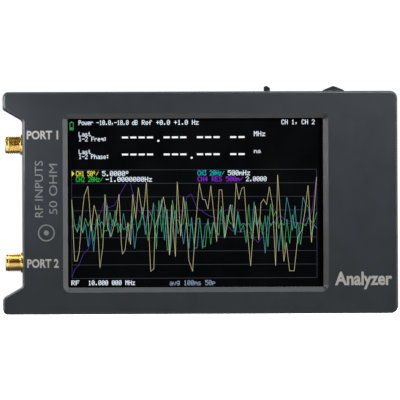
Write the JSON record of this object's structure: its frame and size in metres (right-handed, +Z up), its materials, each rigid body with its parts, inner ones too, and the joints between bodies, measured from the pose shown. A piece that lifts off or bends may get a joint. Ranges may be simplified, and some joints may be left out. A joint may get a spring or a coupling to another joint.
{
  "type": "vector network analyzer",
  "caption": "Pocket vector network analyzer: flat two-shell case with a landscape touch display, threaded coaxial ports between guard horns, and a slide switch and jog lever on top.",
  "frame": {"origin": "middle of the flat long bottom edge that the instrument stands on, half way through the case's depth", "axes": "+Z up from the standing edge to the controls, +X to the right of the display, display faces -Y and the coaxial ports face -X"},
  "size_m": [0.1354, 0.019, 0.0784],
  "materials": {
    "case_plastic": "fine satin moulded, dark grey",
    "screw_black": "black oxide",
    "steel": "bright tinned",
    "foam_black": "closed-cell foam",
    "cover_glass": "polished",
    "lcd_black": "polished",
    "silicon": "polished",
    "light_guide": "clear",
    "white_film": "satin",
    "flex_amber": "satin",
    "connector_cream": "satin",
    "board_black": "solder mask",
    "epoxy_black": "matt",
    "ferrite": "matt",
    "ceramic_tan": "satin",
    "led_clear": "clear",
    "pouch_silver": "laminated film",
    "tape_yellow": "polyimide tape",
    "wire_red": "smooth",
    "wire_black": "smooth",
    "nylon_white": "satin",
    "control_black": "satin moulded",
    "phenolic": "satin",
    "gold": "gold plated",
    "ptfe": "waxy"
  },
  "bodies": {
    "instrument": {"front_cover": "case_plastic", "rear_cover": "case_plastic", "case_screws": "screw_black", "board_screws": "steel", "window_gasket": "foam_black", "touch_panel": "cover_glass", "lcd_glass": "lcd_black", "lcd_driver_chip": "silicon", "backlight_guide": "light_guide", "backlight_sheet": "white_film", "backlight_tray": "steel", "display_foam": "foam_black", "lcd_flex": "flex_amber", "touch_flex": "flex_amber", "lcd_flex_socket": "connector_cream", "touch_flex_socket": "connector_cream", "main_board": "board_black", "processor_chip": "epoxy_black", "codec_chip": "epoxy_black", "synthesizer_chip": "epoxy_black", "charger_chip": "epoxy_black", "mixer_chips": "epoxy_black", "crystals": "steel", "power_inductor": "ferrite", "small_components": "ceramic_tan", "status_leds": "led_clear", "shield_frames": "steel", "shield_lids": "steel", "battery_cell": "pouch_silver", "battery_guard_board": "tape_yellow", "battery_tape": "foam_black", "battery_pad": "foam_black", "battery_lead_red": "wire_red", "battery_lead_black": "wire_black", "battery_plug": "nylon_white", "battery_socket": "nylon_white", "usb_shell": "steel", "usb_tongue": "epoxy_black", "usb_contacts": "gold", "card_socket_cover": "steel", "card_socket_base": "epoxy_black", "port_a_jack": "gold", "port_b_jack": "gold", "port_a_insulator": "ptfe", "port_b_insulator": "ptfe", "port_a_contact": "gold", "port_b_contact": "gold", "power_switch_frame": "steel", "power_switch_base": "phenolic", "power_switch_terminals": "steel", "jog_switch_body": "epoxy_black", "jog_switch_plate": "steel", "jog_dome": "steel"},
    "power_slider": {"power_switch_slider": "control_black", "power_switch_wiper": "gold"},
    "jog_carriage": {"jog_plunger": "nylon_white"},
    "jog_lever": {"jog_lever": "steel", "jog_cap": "control_black"}
  },
  "joints": [
    {"name": "power_switch_slide", "type": "slide", "parent": "instrument", "child": "power_slider", "axis": [1, 0, 0], "range_m": [0, 0.002]},
    {"name": "jog_push", "type": "slide", "parent": "instrument", "child": "jog_carriage", "axis": [0, 0, -1], "range_m": [0, 0.0005], "stiffness_N_per_m": 1000, "springref_m": -0.0003, "deforming": ["jog_dome"]},
    {"name": "jog_tilt", "type": "hinge", "parent": "jog_carriage", "child": "jog_lever", "pos_m": [0.04615, 0.0007, 0.0704], "axis": [0, 1, 0], "range_deg": [-10, 10], "stiffness_Nm_per_rad": 0.03}
  ]
}
